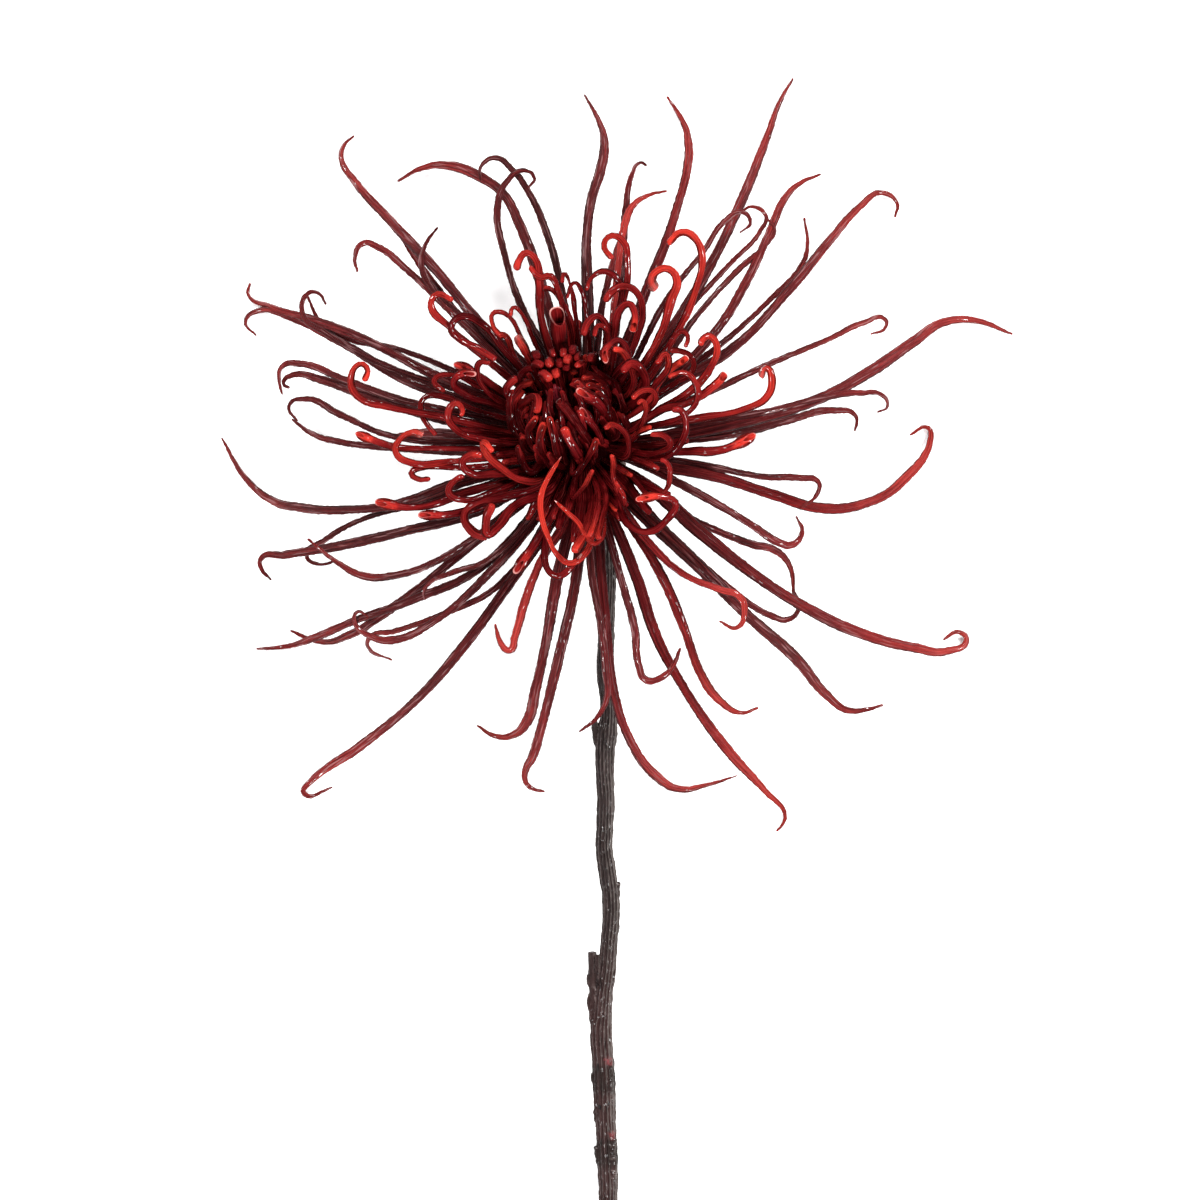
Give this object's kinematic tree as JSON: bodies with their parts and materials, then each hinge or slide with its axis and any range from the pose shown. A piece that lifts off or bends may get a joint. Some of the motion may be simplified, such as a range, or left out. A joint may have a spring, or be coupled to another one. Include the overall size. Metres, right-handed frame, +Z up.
{
  "type": "spider chrysanthemum",
  "caption": "Cut spider chrysanthemum lying face up: long curling quill florets, hooked inner florets and an incurved crown on a slender ridged stem.",
  "frame": {"origin": "middle of the flower's bounding box in plan, on the surface that the flower lies on", "axes": "+Z up out of the surface and out of the bloom's face, +Y from the cut end of the stem to the bloom, +X to the right as seen from above"},
  "size_m": [0.1989, 0.3075, 0.0739],
  "materials": {
    "stem": "dark grey-brown ridged bark of a cut stem, redder towards the cut end, semi-gloss",
    "involucre": "dull dark olive bracts with reddish edges, standing in for leafy tissue",
    "long_florets": "dark wine-red grooved florets with brighter red tips, waxy gloss, standing in for petal tissue",
    "hooked_florets": "bright crimson tubular florets, high waxy gloss, standing in for petal tissue",
    "crown_florets": "deep crimson finger-like florets, high waxy gloss, standing in for petal tissue"
  },
  "bodies": {
    "root": {"stem": "stem", "involucre": "involucre", "long_florets": "long_florets", "hooked_florets": "hooked_florets", "crown_florets": "crown_florets"}
  },
  "joints": []
}
